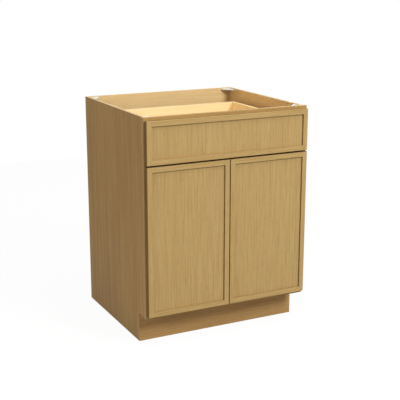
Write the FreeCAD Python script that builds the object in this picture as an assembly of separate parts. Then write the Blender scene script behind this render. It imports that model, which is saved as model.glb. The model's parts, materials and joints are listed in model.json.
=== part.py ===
import FreeCAD, Part
import os

# Framed kitchen base cabinet: a five-piece drawer front over a pair of five-piece doors, open top.
# X runs across the cabinet, -Y is the front, +Z is up, and the origin is at the middle of the
# base of the closed cabinet. All lengths are millimetres.

# Whole cabinet
cabinet_width = 685.8
cabinet_height = 876.3
carcass_depth = 609.6
toe_height = 114.3
toe_setback = 78.0

# Face frame
stile_width = 38.1
rail_width = 38.1
frame_thickness = 19.05
frame_overhang = 4.76
frame_tenon_length = 19.0
frame_tenon_thickness = 6.35
frame_tenon_shoulder = 6.35
frame_groove_depth = 6.35

# Case panels
side_thickness = 12.7
bottom_thickness = 12.7
back_thickness = 6.35
dado_depth = 6.35
nailer_thickness = 12.7
nailer_width = 101.6
nailer_floor_gap = 38.1
toe_board_thickness = 12.7

# Shelf, its pegs and the rows of holes for them
shelf_thickness = 15.9
shelf_end_gap = 1.8
shelf_front_setback = 38.1
shelf_back_gap = 3.0
peg_radius = 2.45
peg_hole_radius = 2.5
peg_hole_depth = 9.5
peg_insertion = 9.0
peg_hole_pitch = 50.8
peg_hole_count = 3
peg_hole_start = 377.2
peg_column_setback = 76.2
peg_row_used = 1
peg_plate_thickness = 1.2
peg_plate_width = 9.0
peg_plate_height = 13.0
peg_tongue_length = 11.0

# Fronts: reveals, gaps and members
side_reveal = 5.0
top_reveal = 10.3
bottom_reveal = 12.7
door_gap = 3.2
drawer_gap = 4.8
drawer_front_height = 161.4
front_thickness = 18.0
front_member_width = 20.0
front_panel_recess = 6.0
front_tongue_length = 8.0
front_tongue_thickness = 6.0
front_edge_ease = 1.2
bumper_gap = 1.5
bumper_width = 9.0
bumper_thickness = 1.2
bumper_inset = 11.0

# Drawer box
drawer_side_gap = 5.0
drawer_board_thickness = 15.9
drawer_bottom_clearance = 14.3
drawer_top_clearance = 9.85
drawer_back_gap = 84.05
drawer_bottom_recess = 12.7
drawer_bottom_thickness = 6.35
drawer_groove_depth = 6.0
drawer_notch_margin = 1.5
tail_count = 3
tail_end_share = 0.62
tail_neck_share = 0.46

# Runners under the drawer
runner_block_height = 52.0
runner_block_drop = 17.0
slide_gauge = 1.2
slide_side_clearance = 2.3
slide_channel_width = 22.8
slide_floor_drop = 12.0
slide_flange_rise = 24.0
slide_lip_drop = 2.0
slide_lip_gap = 1.0
slide_setback = 3.0
slide_end_gap = 1.6
slide_tail = 12.0
shoe_thickness = 1.5
shoe_height = 7.5
shoe_length = 40.0
running_gap = 0.3

# Catch that locks the drawer to its runner, and its release lever
catch_gap = 1.0
catch_width = 34.0
catch_length = 52.0
catch_floor_rise = 1.0
catch_finger_setback = 16.0
catch_finger_length = 14.0
lever_pivot_in = 17.0
lever_pivot_back = 28.0
lever_pin_radius = 2.0
lever_pin_clearance = 0.08
lever_pin_length = 7.0
lever_thickness = 2.5
lever_radius = 6.0
lever_reach_in = 26.0
lever_reach_forward = 14.0
lever_thumb_share = 0.7

# Concealed hinges: places across the front are measured outwards from the opening's edge, and
# places in depth forwards from the face frame's front
hinge_inset = 80.0
cup_radius = 17.4
cup_clearance = 0.1
cup_wall = 0.9
cup_floor = 0.6
cup_depth = 11.2
cup_centre_out = 11.1
flange_width = 18.0
flange_height = 54.0
flange_thickness = 0.9
flange_corner = 5.0
cup_notch_depth = 2.0
cup_notch_margin = 0.6
arm_pivot_in = 3.75
arm_pivot_forward = 1.1
arm_front_pivot_out = 8.9
arm_front_pivot_forward = 10.45
outer_link_pivot_out = 23.8
outer_link_pivot_forward = 2.5
inner_link_pivot_out = 24.05
inner_link_pivot_forward = 6.5
arm_eye_radius = 1.3
arm_bend_in = 2.9
arm_bend_forward = 1.8
arm_pin_radius = 0.9
front_pin_radius = 0.75
cup_pin_radius = 0.7
hinge_pin_clearance = 0.05
inner_link_half = 2.0
hinge_layer_gap = 0.3
hinge_plate_gauge = 1.2
cup_cheek_gap = 0.4
cup_cheek_foot = 3.2
cup_cheek_nose = 1.8
outer_link_half_width = 1.2
inner_link_half_width = 0.9
inner_link_eye_radius = 1.4
open_eye_radius = 3.0
open_eye_hole = 2.4
arm_web_low = 3.0
arm_web_high = 13.0
arm_web_in = 4.2
hinge_base_gauge = 1.5
hinge_base_length = 46.0
hinge_base_margin = 1.0

# Corner braces for the worktop
brace_leg = 40.0
brace_nose = 7.0
brace_recess = 3.0
brace_plate = 2.5
brace_wall = 2.0
brace_flange = 7.0
brace_lip = 4.0
brace_hole_place = 13.5
brace_hole_radius = 2.6
brace_rib_place = 22.0
brace_rib_width = 1.6
brace_rib_drop = 5.0

# Half the side of an eight-sided eye as a share of the distance from its middle to its flats
eye_side_share = 2 ** 0.5 - 1

# One overrun serves every cut, and one tolerance every search for an edge
overrun = 5.0
tolerance = 0.001

# Places that follow from the sizes above
half_width = cabinet_width / 2
opening_half = half_width - stile_width
panel_outer = half_width - frame_overhang
panel_inner = panel_outer - side_thickness
front_edge = half_width - side_reveal
frame_front = -(carcass_depth - front_thickness - bumper_gap) / 2
frame_back = frame_front + frame_thickness
front_back = frame_front - bumper_gap
front_face = front_back - front_thickness
case_back = frame_front + carcass_depth
back_panel_front = case_back - back_thickness
nailer_front = back_panel_front - nailer_thickness
drawer_front_top = cabinet_height - top_reveal
drawer_front_low = drawer_front_top - drawer_front_height
door_top = drawer_front_low - drawer_gap
door_low = toe_height + bottom_reveal
middle_rail_low = (drawer_front_low + door_top - rail_width) / 2
middle_rail_top = middle_rail_low + rail_width
top_rail_low = cabinet_height - rail_width
floor_top = toe_height + rail_width
floor_low = floor_top - bottom_thickness

box_half = opening_half - drawer_side_gap
box_inner = box_half - drawer_board_thickness
box_low = middle_rail_top + drawer_bottom_clearance
box_top = top_rail_low - drawer_top_clearance
box_front_inner = front_back + drawer_board_thickness
box_back = nailer_front - drawer_back_gap
box_back_inner = box_back - drawer_board_thickness
drawer_floor_low = box_low + drawer_bottom_recess

channel_out = box_inner - slide_side_clearance
channel_in = channel_out - slide_channel_width
channel_floor = box_low - slide_floor_drop
slide_start = frame_front + slide_setback
carriage_start = box_front_inner + slide_end_gap
slide_end = box_back + slide_tail
carriage_wrap = slide_gauge + running_gap
peg_height = peg_hole_start + peg_hole_pitch * peg_row_used
shelf_low = peg_height + peg_radius
hinge_heights = (door_low + hinge_inset, door_top - hinge_inset)

AXIS_X = FreeCAD.Vector(1, 0, 0)
AXIS_Y = FreeCAD.Vector(0, 1, 0)
AXIS_Z = FreeCAD.Vector(0, 0, 1)


def point(x, y, z):
    return FreeCAD.Vector(x, y, z)


def block(x0, x1, y0, y1, z0, z1):
    """Rectangular solid between two opposite corners given in any order."""
    low = point(min(x0, x1), min(y0, y1), min(z0, z1))
    return Part.makeBox(abs(x1 - x0), abs(y1 - y0), abs(z1 - z0), low)


def rod(radius, start, direction, length):
    return Part.makeCylinder(radius, length, start, direction)


def prism(corners, depth):
    """Solid swept from a flat outline along a vector."""
    outline = Part.makePolygon(corners + [corners[0]])
    return Part.Face(outline).extrude(depth)


def joined(first, *rest):
    return first.fuse(list(rest)).removeSplitter()


def cut_by(shape, tools):
    """The shape less every tool that reaches it."""
    near = [tool for tool in tools if shape.BoundBox.intersect(tool.BoundBox)]
    return shape.cut(near) if near else shape


def mirrored(shape):
    """The same piece on the other side of the cabinet's middle plane."""
    return shape.mirror(point(0, 0, 0), AXIS_X)


def bar(start, end, radius, low, high):
    """Flat bar with eight-sided ends round two upright axes, from height low to height high."""
    along = (end - start).normalize() * radius
    side = AXIS_Z.cross(along)
    nub, flank = along * eye_side_share, side * eye_side_share
    corners = [end + along - flank, end + along + flank, end + nub + side, start - nub + side,
               start - along + flank, start - along - flank, start - nub - side, end + nub - side]
    return prism([corner + AXIS_Z * low for corner in corners], AXIS_Z * (high - low))


def eye(place, radius, low, high):
    """Eight-sided plate round an upright axis, from height low to height high."""
    nub = radius * eye_side_share
    corners = [point(x, y, low) for x, y in (
        (radius, nub), (nub, radius), (-nub, radius), (-radius, nub),
        (-radius, -nub), (-nub, -radius), (nub, -radius), (radius, -nub))]
    return prism([place + corner for corner in corners], AXIS_Z * (high - low))


# Face frame

def frame_rail(low):
    """Rail of the face frame with a stub tenon at each end."""
    body = block(-opening_half, opening_half, frame_front, frame_back, low, low + rail_width)
    reach = opening_half + frame_tenon_length
    tenon_front = frame_front + (frame_thickness - frame_tenon_thickness) / 2
    tenon = block(-reach, reach, tenon_front, tenon_front + frame_tenon_thickness,
                  low + frame_tenon_shoulder, low + rail_width - frame_tenon_shoulder)
    return joined(body, tenon)


def frame_stile(rails, side):
    """Right stile of the face frame, mortised for the rails and grooved for the side panel."""
    body = block(opening_half, half_width, frame_front, frame_back, toe_height, cabinet_height)
    return cut_by(body, rails + [side])


# Case

def side_panel(bottom, back, toe_board):
    """Right side panel with its toe notch, its grooves and two rows of shelf peg holes."""
    body = block(panel_inner, panel_outer, frame_back - frame_groove_depth, case_back,
                 0, cabinet_height)
    notch = block(panel_inner - overrun, panel_outer + overrun, frame_front - overrun,
                  frame_front + toe_setback, -overrun, toe_height)
    holes = []
    for column in peg_columns():
        for row in range(peg_hole_count):
            mouth = point(panel_inner, column, peg_hole_start + peg_hole_pitch * row)
            holes.append(rod(peg_hole_radius, mouth, AXIS_X, peg_hole_depth))
    return cut_by(body, [notch, bottom, back, toe_board] + holes)


def peg_columns():
    return (frame_back + peg_column_setback, nailer_front - peg_column_setback)


def bottom_panel():
    reach = panel_inner + dado_depth
    return block(-reach, reach, frame_back, back_panel_front, floor_low, floor_top)


def back_panel():
    reach = panel_inner + dado_depth
    return block(-reach, reach, back_panel_front, case_back, nailer_floor_gap, cabinet_height)


def nailer(low, high):
    return block(-panel_inner, panel_inner, nailer_front, back_panel_front, low, high)


def toe_board():
    """Board behind the toe space, as wide as the case, that covers the side panels' notched edges."""
    face = frame_front + toe_setback
    return block(-panel_outer, panel_outer, face, face + toe_board_thickness, 0, toe_height)


def runner_block():
    """Hardwood packing that brings the right runner flush with the frame's opening."""
    low = box_low - runner_block_drop
    return block(opening_half, panel_inner, frame_back, back_panel_front, low,
                 low + runner_block_height)


def shelf():
    reach = panel_inner - shelf_end_gap
    return block(-reach, reach, frame_back + shelf_front_setback, back_panel_front - shelf_back_gap,
                 shelf_low, shelf_low + shelf_thickness)


def shelf_peg(column):
    """Spoon peg in the right side panel: a round peg, a plate against the panel and a tongue."""
    peg = rod(peg_radius, point(panel_inner - peg_plate_thickness, column, peg_height), AXIS_X,
              peg_plate_thickness + peg_insertion)
    plate = block(panel_inner - peg_plate_thickness, panel_inner, column - peg_plate_width / 2,
                  column + peg_plate_width / 2, shelf_low - peg_plate_height, shelf_low)
    tongue = block(panel_inner - peg_tongue_length, panel_inner, column - peg_plate_width / 2,
                   column + peg_plate_width / 2, shelf_low - peg_plate_thickness, shelf_low)
    return joined(plate, tongue, peg)


# Corner braces

def brace():
    """Moulded brace whose right angle is at the origin and whose legs run along -X and -Y."""
    legs = [point(0, 0, 0), point(-brace_leg, 0, 0), point(-brace_leg, -brace_nose, 0),
            point(-brace_nose, -brace_leg, 0), point(0, -brace_leg, 0)]
    plate = prism(legs, -AXIS_Z * brace_plate)
    back_flange = block(-brace_leg, 0, -brace_wall, 0, -brace_flange, 0)
    side_flange = block(-brace_wall, 0, -brace_leg, 0, -brace_flange, 0)
    inward = point(brace_wall, brace_wall, 0) * (1 / 2 ** 0.5)
    lip = prism([legs[2], legs[3], legs[3] + inward, legs[2] + inward], -AXIS_Z * brace_lip)
    rib_start = brace_rib_place - brace_rib_width / 2
    rib_end = brace_rib_place + brace_rib_width / 2
    rib_reach = brace_leg + brace_nose - rib_end
    ribs = [block(-rib_end, -rib_start, -rib_reach, 0, -brace_rib_drop, 0),
            block(-rib_reach, 0, -rib_end, -rib_start, -brace_rib_drop, 0)]
    place = point(-brace_hole_place, -brace_hole_place, overrun)
    hole = rod(brace_hole_radius, place, -AXIS_Z, brace_rib_drop + overrun)
    return joined(plate, back_flange, side_flange, lip, *ribs).cut(hole)


def placed_brace(front):
    """Right brace at the front or at the back corner, a little below the top of the case."""
    top = cabinet_height - brace_recess
    if front:
        return brace().mirror(point(0, 0, 0), AXIS_Y).translated(
            point(panel_inner, frame_back, top))
    return brace().translated(point(panel_inner, nailer_front, top))


# Five-piece fronts

def eased_board(x0, x1, z0, z1, outer):
    """Member of a front whose outer front edges, named in outer, are eased."""
    body = block(x0, x1, front_face, front_back, z0, z1)
    limits = {"left": ("x", x0), "right": ("x", x1), "low": ("z", z0), "top": ("z", z1)}
    edges = []
    for edge in body.Edges:
        middle = edge.CenterOfMass
        if abs(middle.y - front_face) > tolerance:
            continue
        if any(abs(getattr(middle, limits[side][0]) - limits[side][1]) < tolerance for side in outer):
            edges.append(edge)
    return body.makeChamfer(front_edge_ease, edges)


def shaker_front(x0, x1, z0, z1):
    """Stiles, rails and panel of one front: left stile, right stile, top rail, low rail, panel."""
    member = front_member_width
    tongue = front_tongue_length
    inner_x0, inner_x1, inner_z0, inner_z1 = x0 + member, x1 - member, z0 + member, z1 - member
    panel_face = front_face + front_panel_recess
    tongue_face = (panel_face + front_back - front_tongue_thickness) / 2
    tongue_rear = tongue_face + front_tongue_thickness
    panel = joined(block(inner_x0, inner_x1, panel_face, front_back, inner_z0, inner_z1),
                   block(inner_x0 - tongue, inner_x1 + tongue, tongue_face, tongue_rear,
                         inner_z0 - tongue, inner_z1 + tongue))
    rails = []
    for outer_z, inner_z, name in ((z1, inner_z1, "top"), (z0, inner_z0, "low")):
        body = eased_board(inner_x0, inner_x1, min(outer_z, inner_z), max(outer_z, inner_z), (name,))
        groove_z = inner_z + (tongue if name == "top" else -tongue)
        stub = block(inner_x0 - tongue, inner_x1 + tongue, tongue_face, tongue_rear,
                     groove_z, (groove_z + outer_z) / 2)
        rails.append(joined(body.cut(panel), stub))
    stiles = [eased_board(x0, inner_x0, z0, z1, ("left", "low", "top")),
              eased_board(inner_x1, x1, z0, z1, ("right", "low", "top"))]
    stiles = [cut_by(stile, rails + [panel]) for stile in stiles]
    return stiles + rails + [panel]


def bumper(x, z):
    """Clear stick-on pad on the back of a front."""
    half = bumper_width / 2
    return block(x - half, x + half, front_back, front_back + bumper_thickness, z - half, z + half)


# Drawer box

def tails(end, neck):
    """Dovetails of the right side board at one end, narrow at the neck and wide at the end."""
    pitch = (box_top - box_low) / tail_count
    shapes = []
    for index in range(tail_count):
        middle = box_low + pitch * (index + 1 / 2)
        wide = pitch * tail_end_share / 2
        slim = pitch * tail_neck_share / 2
        corners = [point(box_inner, neck, middle - slim), point(box_inner, end, middle - wide),
                   point(box_inner, end, middle + wide), point(box_inner, neck, middle + slim)]
        shapes.append(prism(corners, AXIS_X * drawer_board_thickness))
    return shapes


def drawer_bottom():
    reach = box_inner + drawer_groove_depth
    return block(-reach, reach, box_front_inner - drawer_groove_depth,
                 box_back_inner + drawer_groove_depth, drawer_floor_low,
                 drawer_floor_low + drawer_bottom_thickness)


def drawer_boards(bottom):
    """Right side, front and back boards of the drawer box, dovetailed and grooved."""
    front_tails = tails(front_back, box_front_inner)
    back_tails = tails(box_back, box_back_inner)
    plain = block(box_inner, box_half, box_front_inner, box_back_inner, box_low, box_top)
    side = joined(plain, *front_tails, *back_tails).cut(bottom)
    boards = []
    for near, far, sockets in ((front_back, box_front_inner, front_tails),
                               (box_back_inner, box_back, back_tails)):
        board = block(-box_half, box_half, near, far, box_low, box_top)
        boards.append(board.cut(sockets + [mirrored(tail) for tail in sockets] + [bottom]))
    front, back = boards
    notch = block(box_inner, channel_in - drawer_notch_margin, box_back_inner - overrun,
                  box_back + overrun, box_low - overrun, drawer_floor_low)
    return side, front, back.cut([notch, mirrored(notch)])


# Runners

def cabinet_member():
    """Fixed right runner: a flange on the packing, a floor and an open channel."""
    lip = box_low - slide_lip_drop
    flange = block(opening_half - slide_gauge, opening_half, slide_start, slide_end, channel_floor,
                   box_low + slide_flange_rise)
    floor = block(channel_in, opening_half, slide_start, slide_end, channel_floor,
                  channel_floor + slide_gauge)
    outer = block(channel_out - slide_gauge, channel_out, slide_start, slide_end, channel_floor, lip)
    inner = block(channel_in, channel_in + slide_gauge, slide_start, slide_end, channel_floor, lip)
    return joined(flange, floor, outer, inner)


def middle_limits():
    """Across and up limits of the right middle member inside both channels."""
    wrap = carriage_wrap + shoe_thickness
    return (channel_in + wrap, channel_out - wrap, channel_floor + wrap, drawer_floor_low - wrap)


def middle_member():
    """Right middle runner, an H section that carries the shoes."""
    x0, x1, z0, z1 = middle_limits()
    web_low = (z0 + z1 - slide_gauge) / 2
    return joined(block(x0, x0 + slide_gauge, carriage_start, box_back, z0, z1),
                  block(x1 - slide_gauge, x1, carriage_start, box_back, z0, z1),
                  block(x0, x1, carriage_start, box_back, web_low, web_low + slide_gauge))


def shoes():
    """Plastic shoes of the right middle runner: two in the fixed channel, two in the drawer's."""
    x0, x1, z0, z1 = middle_limits()
    middle = (carriage_start + box_back) / 2
    low_z = z0 - shoe_thickness
    high_z = z1 + shoe_thickness
    core = block(x0, x1, carriage_start - overrun, box_back + overrun, z0, z1)
    solids = []
    for start in (middle, box_back - shoe_length):
        solids.append(block(x0 - shoe_thickness, x1 + shoe_thickness, start, start + shoe_length,
                            low_z, low_z + shoe_height).cut(core))
    for start in (carriage_start, middle - shoe_length):
        solids.append(block(x0 - shoe_thickness, x1 + shoe_thickness, start, start + shoe_length,
                            high_z - shoe_height, high_z).cut(core))
    return solids


def drawer_member():
    """Right runner under the drawer floor, a channel open downwards."""
    lip = box_low - slide_lip_drop + slide_lip_gap
    return joined(block(channel_in, channel_out, carriage_start, box_back,
                        drawer_floor_low - slide_gauge, drawer_floor_low),
                  block(channel_in, channel_in + slide_gauge, carriage_start, box_back, lip,
                        drawer_floor_low),
                  block(channel_out - slide_gauge, channel_out, carriage_start, box_back, lip,
                        drawer_floor_low))


def lever_pivot():
    return point(channel_in - catch_gap - lever_pivot_in, box_front_inner + lever_pivot_back, 0)


def catch():
    """Right catch under the drawer floor, with a finger against the runner and a pivot hole."""
    out = channel_in - catch_gap
    body = block(out - catch_width, out, box_front_inner, box_front_inner + catch_length,
                 box_low + catch_floor_rise, drawer_floor_low)
    finger_start = box_front_inner + catch_finger_setback
    finger = block(out, channel_in, finger_start, finger_start + catch_finger_length,
                   box_low + catch_floor_rise, drawer_floor_low)
    hole_low = lever_pivot() + AXIS_Z * (box_low + catch_floor_rise - overrun)
    hole = rod(lever_pin_radius + lever_pin_clearance, hole_low, AXIS_Z,
               lever_pin_length + running_gap + overrun)
    return joined(body, finger).cut(hole)


def lever():
    """Right release lever: a flat thumb lever under the catch with its pivot pin."""
    pivot = lever_pivot()
    tip = pivot - point(lever_reach_in, lever_reach_forward, 0)
    top = box_low + catch_floor_rise - running_gap
    plate = bar(pivot, tip, lever_radius, top - lever_thickness, top)
    heel = pivot + (tip - pivot) * lever_thumb_share
    thumb = bar(heel, tip, lever_radius, top - 2 * lever_thickness, top - lever_thickness)
    pin = rod(lever_pin_radius, pivot + AXIS_Z * top, AXIS_Z, lever_pin_length)
    return joined(plate, thumb, pin)


# Hinges

def hinge_point(out, forward):
    """Point beside the opening's right edge, out from that edge and forward of the frame."""
    return point(opening_half + out, frame_front - forward, 0)


def layers(inner, outer):
    """Height limits of a pair of plates about the hinge's middle."""
    return ((-outer, -inner), (inner, outer))


arm_inner = inner_link_half + hinge_layer_gap
arm_outer = arm_inner + hinge_plate_gauge
link_inner = arm_outer + hinge_layer_gap
link_outer = link_inner + hinge_plate_gauge
cheek_inner = link_outer + cup_cheek_gap
cheek_outer = cheek_inner + hinge_plate_gauge


def hinge_pin(place, radius, half_length):
    return rod(radius, place - AXIS_Z * half_length, AXIS_Z, 2 * half_length)


def hinge_arm():
    """Fixed arm of a right hinge: base on the stile's edge, web, two cheeks and the front pin."""
    bend = hinge_point(-arm_bend_in, arm_bend_forward)
    root = hinge_point(-arm_bend_in, -arm_web_high + arm_eye_radius)
    pivot = hinge_point(-arm_pivot_in, arm_pivot_forward)
    tip = hinge_point(arm_front_pivot_out, arm_front_pivot_forward)
    pieces = []
    for low, high in layers(arm_inner, arm_outer):
        for start, end in ((root, bend), (bend, pivot), (bend, tip)):
            pieces.append(bar(start, end, arm_eye_radius, low, high))
    web = block(opening_half - arm_web_in, opening_half, frame_front + arm_web_low,
                frame_front + arm_web_high, -arm_outer, arm_outer)
    base = block(opening_half - hinge_base_gauge, opening_half, frame_front + hinge_base_margin,
                 frame_back - hinge_base_margin, -hinge_base_length / 2, hinge_base_length / 2)
    pin = hinge_pin(tip, front_pin_radius, arm_outer)
    solid = joined(base, web, pin, *pieces)
    return solid.cut(hinge_pin(pivot, arm_pin_radius + hinge_pin_clearance, arm_outer))


def outer_link():
    """Moving link of a right hinge: two plates on one pin, with stub pins for the cup."""
    pivot = hinge_point(-arm_pivot_in, arm_pivot_forward)
    end = hinge_point(outer_link_pivot_out, outer_link_pivot_forward)
    plates = [bar(pivot, end, outer_link_half_width, low, high)
              for low, high in layers(link_inner, link_outer)]
    stubs = [rod(front_pin_radius, end + AXIS_Z * low, AXIS_Z, high - low)
             for low, high in layers(link_outer, cheek_outer)]
    return joined(hinge_pin(pivot, arm_pin_radius, link_outer), *plates, *stubs)


def inner_link():
    """Second link of a right hinge, with a close eye on the arm and an open one round the cup's pin."""
    start = hinge_point(arm_front_pivot_out, arm_front_pivot_forward)
    end = hinge_point(inner_link_pivot_out, inner_link_pivot_forward)
    low, high = -inner_link_half, inner_link_half
    body = joined(bar(start, end, inner_link_half_width, low, high),
                  eye(start, inner_link_eye_radius, low, high),
                  eye(end, open_eye_radius, low, high))
    return body.cut([hinge_pin(start, front_pin_radius + hinge_pin_clearance, inner_link_half),
                     eye(end, open_eye_hole, low, high)])


def cup_mouth():
    return point(opening_half + cup_centre_out, front_back, 0)


def cup_bore():
    """Bore in the back of a right door that takes the cup."""
    return rod(cup_radius + cup_clearance, cup_mouth(), -AXIS_Y, cup_depth + cup_clearance)


def cup_flange():
    """Plate with cut corners on the back of a right door, above and below the cup's mouth."""
    half_width, half_height = flange_width / 2, flange_height / 2
    short_width, short_height = half_width - flange_corner, half_height - flange_corner
    corners = [point(x, 0, z) for x, z in (
        (half_width, short_height), (short_width, half_height), (-short_width, half_height),
        (-half_width, short_height), (-half_width, -short_height), (-short_width, -half_height),
        (short_width, -half_height), (half_width, -short_height))]
    return prism([cup_mouth() + corner for corner in corners], AXIS_Y * flange_thickness)


def cup_cheek(low, high):
    """Cheek from the cup's floor that carries the outer link's stub pin."""
    pin = hinge_point(outer_link_pivot_out, outer_link_pivot_forward)
    floor = front_back - cup_depth + cup_floor
    nose = pin.y + arm_eye_radius
    corners = [point(pin.x - cup_cheek_foot, floor, low), point(pin.x + cup_cheek_foot, floor, low),
               point(pin.x + cup_cheek_nose, nose, low), point(pin.x - cup_cheek_nose, nose, low)]
    return prism(corners, AXIS_Z * (high - low))


def hinge_cup():
    """Pressed cup of a right hinge with its flange, its two cheeks and the inner link's pin."""
    shell = joined(rod(cup_radius, cup_mouth(), -AXIS_Y, cup_depth), cup_flange())
    hollow_start = cup_mouth() + AXIS_Y * flange_thickness
    shell = shell.cut(rod(cup_radius - cup_wall, hollow_start, -AXIS_Y,
                          cup_depth - cup_floor + flange_thickness))
    notch_half = link_outer + cup_notch_margin
    notch = block(opening_half - overrun - cup_radius, opening_half, front_back - cup_notch_depth,
                  front_back + overrun, -notch_half, notch_half)
    outer_pin = hinge_point(outer_link_pivot_out, outer_link_pivot_forward)
    inner_pin = hinge_point(inner_link_pivot_out, inner_link_pivot_forward)
    cheeks = [cup_cheek(low, high) for low, high in layers(cheek_inner, cheek_outer)]
    body = joined(shell.cut(notch), hinge_pin(inner_pin, cup_pin_radius, cheek_outer), *cheeks)
    return body.cut(hinge_pin(outer_pin, front_pin_radius + hinge_pin_clearance, cheek_outer))


def at_hinges(shapes):
    """The shapes repeated at the height of each hinge of a door."""
    return [shape.translated(AXIS_Z * height) for height in hinge_heights for shape in shapes]


# Assembly

nodes = {}


def pair(name, shapes):
    """A right-hand piece and its mirror image on the left."""
    nodes[name + "_right"] = shapes
    nodes[name + "_left"] = [mirrored(shape) for shape in shapes]


def build_case():
    rails = {"top": frame_rail(top_rail_low), "middle": frame_rail(middle_rail_low),
             "bottom": frame_rail(toe_height)}
    bottom, back, kick = bottom_panel(), back_panel(), toe_board()
    side = side_panel(bottom, back, kick)
    for name, rail in rails.items():
        nodes[name + "_rail"] = [rail]
    pair("stile", [frame_stile(list(rails.values()), side)])
    pair("side_panel", [side])
    nodes["bottom_panel"] = [bottom]
    nodes["back_panel"] = [back]
    nodes["top_nailer"] = [nailer(cabinet_height - nailer_width, cabinet_height)]
    nodes["lower_nailer"] = [nailer(nailer_floor_gap, floor_low)]
    nodes["toe_board"] = [kick]
    nodes["shelf"] = [shelf()]
    pegs = [shelf_peg(column) for column in peg_columns()]
    nodes["shelf_pegs"] = pegs + [mirrored(peg) for peg in pegs]
    braces = [placed_brace(True), placed_brace(False)]
    nodes["corner_braces"] = braces + [mirrored(piece) for piece in braces]


def build_runners():
    pair("runner_block", [runner_block()])
    pair("runner_fixed", [cabinet_member()])
    pair("runner_middle", [middle_member()])
    right = shoes()
    nodes["runner_shoes"] = right + [mirrored(shoe) for shoe in right]
    pair("runner_drawer", [drawer_member()])
    nodes["runner_catches"] = [catch(), mirrored(catch())]
    pair("release_lever", [lever()])


def build_drawer():
    names = ("left_stile", "right_stile", "top_rail", "low_rail", "panel")
    pieces = shaker_front(-front_edge, front_edge, drawer_front_low, drawer_front_top)
    for name, piece in zip(names, pieces):
        nodes["drawer_front_" + name] = [piece]
    bottom = drawer_bottom()
    side, front, back = drawer_boards(bottom)
    pair("drawer_side", [side])
    nodes["drawer_box_front"] = [front]
    nodes["drawer_box_back"] = [back]
    nodes["drawer_bottom"] = [bottom]
    places = [(front_edge - bumper_inset, drawer_front_low + bumper_inset),
              (front_edge - bumper_inset, drawer_front_top - bumper_inset)]
    right = [bumper(x, z) for x, z in places]
    nodes["drawer_bumpers"] = right + [mirrored(piece) for piece in right]


def build_doors():
    names = ("inner_stile", "outer_stile", "top_rail", "low_rail", "panel")
    bores = at_hinges([cup_bore()])
    pieces = shaker_front(door_gap / 2, front_edge, door_low, door_top)
    for name, piece in zip(names, pieces):
        pair("door_" + name, [cut_by(piece, bores)])
    pair("hinge_arms", at_hinges([hinge_arm()]))
    pair("hinge_outer_links", at_hinges([outer_link()]))
    pair("hinge_inner_links", at_hinges([inner_link()]))
    pair("hinge_cups", at_hinges([hinge_cup()]))
    across = door_gap / 2 + bumper_inset
    heights = (door_low + bumper_inset, door_top - bumper_inset)
    pair("door_bumpers", [bumper(across, height) for height in heights])


def main():
    build_case()
    build_runners()
    build_drawer()
    build_doors()
    os.makedirs("parts", exist_ok=True)
    for name, shapes in nodes.items():
        shape = shapes[0] if len(shapes) == 1 else Part.makeCompound(shapes)
        shape.exportStep("parts/" + name + ".step")


main()
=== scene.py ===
import json
import math

import bmesh
import bpy
from bpy.props import FloatProperty, FloatVectorProperty, PointerProperty
from mathutils import Matrix, Vector


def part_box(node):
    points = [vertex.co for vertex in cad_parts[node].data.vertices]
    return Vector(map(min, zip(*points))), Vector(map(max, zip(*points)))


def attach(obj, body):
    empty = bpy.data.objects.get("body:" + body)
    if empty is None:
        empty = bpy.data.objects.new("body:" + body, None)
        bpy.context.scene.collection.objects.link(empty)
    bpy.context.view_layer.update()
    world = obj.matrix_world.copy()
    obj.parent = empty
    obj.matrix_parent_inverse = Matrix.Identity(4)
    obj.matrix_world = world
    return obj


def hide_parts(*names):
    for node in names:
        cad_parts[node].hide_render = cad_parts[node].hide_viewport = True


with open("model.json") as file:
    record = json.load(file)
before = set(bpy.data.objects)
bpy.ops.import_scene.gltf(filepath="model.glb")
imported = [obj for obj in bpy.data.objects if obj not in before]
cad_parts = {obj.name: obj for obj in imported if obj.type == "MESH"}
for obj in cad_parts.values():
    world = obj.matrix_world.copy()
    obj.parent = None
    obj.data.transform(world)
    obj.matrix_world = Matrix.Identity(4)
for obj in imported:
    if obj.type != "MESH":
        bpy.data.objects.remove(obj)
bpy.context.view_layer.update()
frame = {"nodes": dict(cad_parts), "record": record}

bl_info = {
    "name": "Kitchen base cabinet",
    "version": (1, 0, 0),
    "blender": (4, 5, 0),
    "location": "3D View > Sidebar > Cabinet",
    "description": "Finishes, fasteners and studio for a framed kitchen base cabinet",
    "category": "Object",
}

SIDES = {"left": -1, "right": 1}
AXES = {"X": 0, "Y": 1, "Z": 2}

# Metal on rubbed edges, and the veneer in metres and the pairs of layers of the side panels
BARE_METAL = (0.93, 0.93, 0.92)
VENEER = 0.0006
PLY_LAYERS = 3.5

# Scales of the noises that draw the finishes, in features to a metre across the grain
WAVER_SCALE = 4.0
BAND_SCALE = 42.0
RING_SCALE = 170.0
STREAK_SCALE = 290.0
PORE_SCALE = 560.0
FIBRE_SCALE = 900.0
RUB_SCALE = 38.0
ROLLING_SCALE = 900.0
STEEL_CLOUD_SCALE = 90.0
SPARK_SCALE = 1800.0
PLASTIC_CLOUD_SCALE = 60.0

# How far the grain wavers and how deep the bumps are, in metres
WAVER = 0.003
WOOD_RELIEF = 0.0002
FINE_RELIEF = 0.0001

# Share of an axis in the normal of an edge that begins to face along it, and of one that does
FACING = (0.40, 0.65)

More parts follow.
